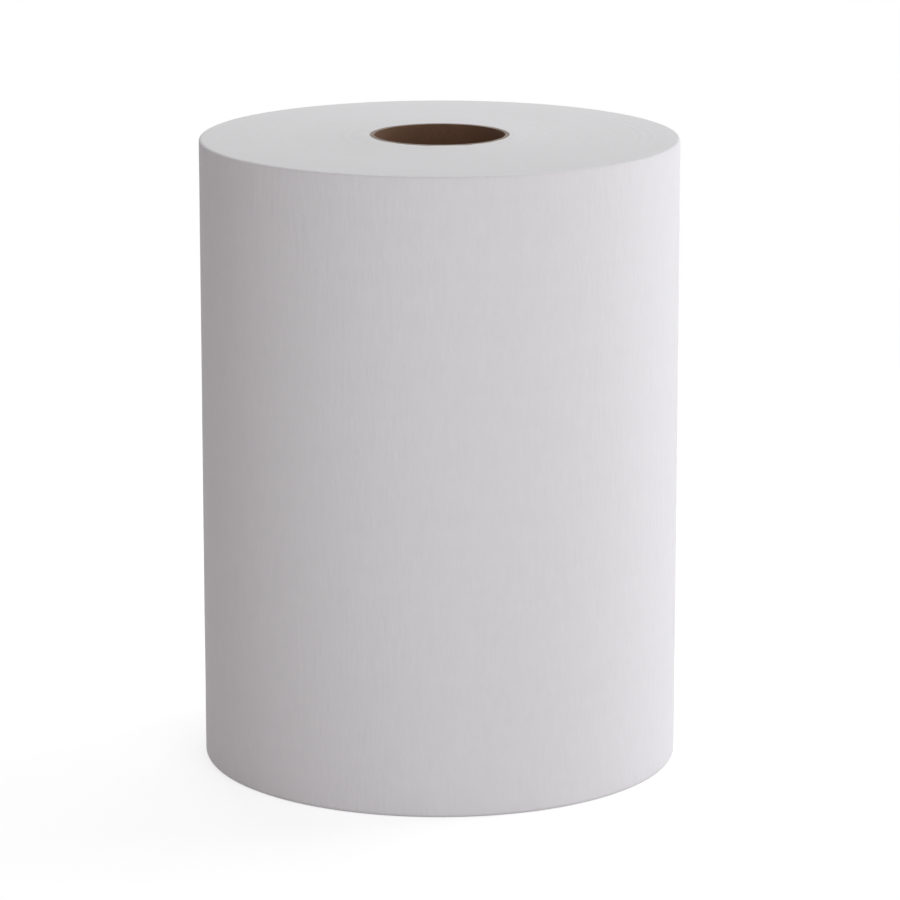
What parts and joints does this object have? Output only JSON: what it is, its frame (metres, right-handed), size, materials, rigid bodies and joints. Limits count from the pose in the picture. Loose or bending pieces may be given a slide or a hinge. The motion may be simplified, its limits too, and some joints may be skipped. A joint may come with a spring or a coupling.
{
  "type": "paper towel roll",
  "caption": "Hardwound white paper towel roll on an open brown board core, for a roll towel dispenser.",
  "frame": {"origin": "centre of the roll's lower cut end, on the core's axis, in the plane that the roll stands on", "axes": "+Z along the core's axis, towards the upper end; +X and +Y square to it, with the viewer on the -Y side and the web's tail at the back left"},
  "size_m": [0.1922, 0.1923, 0.255],
  "materials": {
    "core_board": "matt brown kraft board, lighter on its cut ends",
    "towel_paper": "matt white creped tissue"
  },
  "bodies": {
    "root": {"core_tube": "core_board", "wound_web": "towel_paper"}
  },
  "joints": []
}
